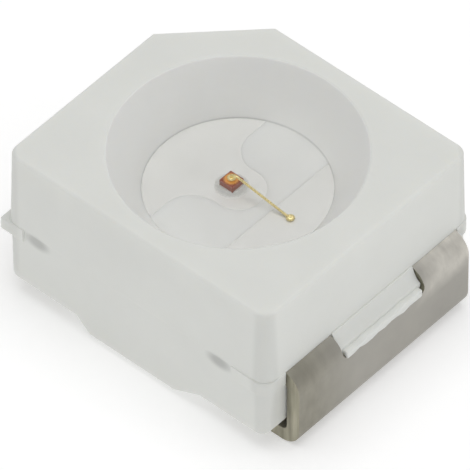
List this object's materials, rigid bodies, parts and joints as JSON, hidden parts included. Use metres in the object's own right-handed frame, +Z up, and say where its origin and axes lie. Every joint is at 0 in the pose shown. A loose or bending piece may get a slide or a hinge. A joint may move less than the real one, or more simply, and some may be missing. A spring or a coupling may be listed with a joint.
{
  "type": "surface-mount led",
  "caption": "White two-lead surface-mount LED with a round reflector cup of clear resin, a bonded die, a chamfered cathode corner and bent solder tabs.",
  "frame": {"origin": "centre of the footprint, level with the undersides of the solder tabs", "axes": "+X along the body from the cathode end to the anode end, +Z up through the cup's axis, away from the board"},
  "size_m": [0.0034, 0.0028, 0.0018],
  "materials": {
    "white_moulding": "satin white moulding",
    "plated_lead": "dull silver plating",
    "silver_glue": "matt silver-filled glue",
    "die": "polished semiconductor",
    "gold": "bright gold",
    "clear_resin": "clear cast resin"
  },
  "bodies": {
    "root": {"housing": "white_moulding", "cathode_lead": "plated_lead", "anode_lead": "plated_lead", "die_attach": "silver_glue", "led_die": "die", "bond_wire": "gold", "security_ball": "gold", "encapsulant": "clear_resin"}
  },
  "joints": []
}
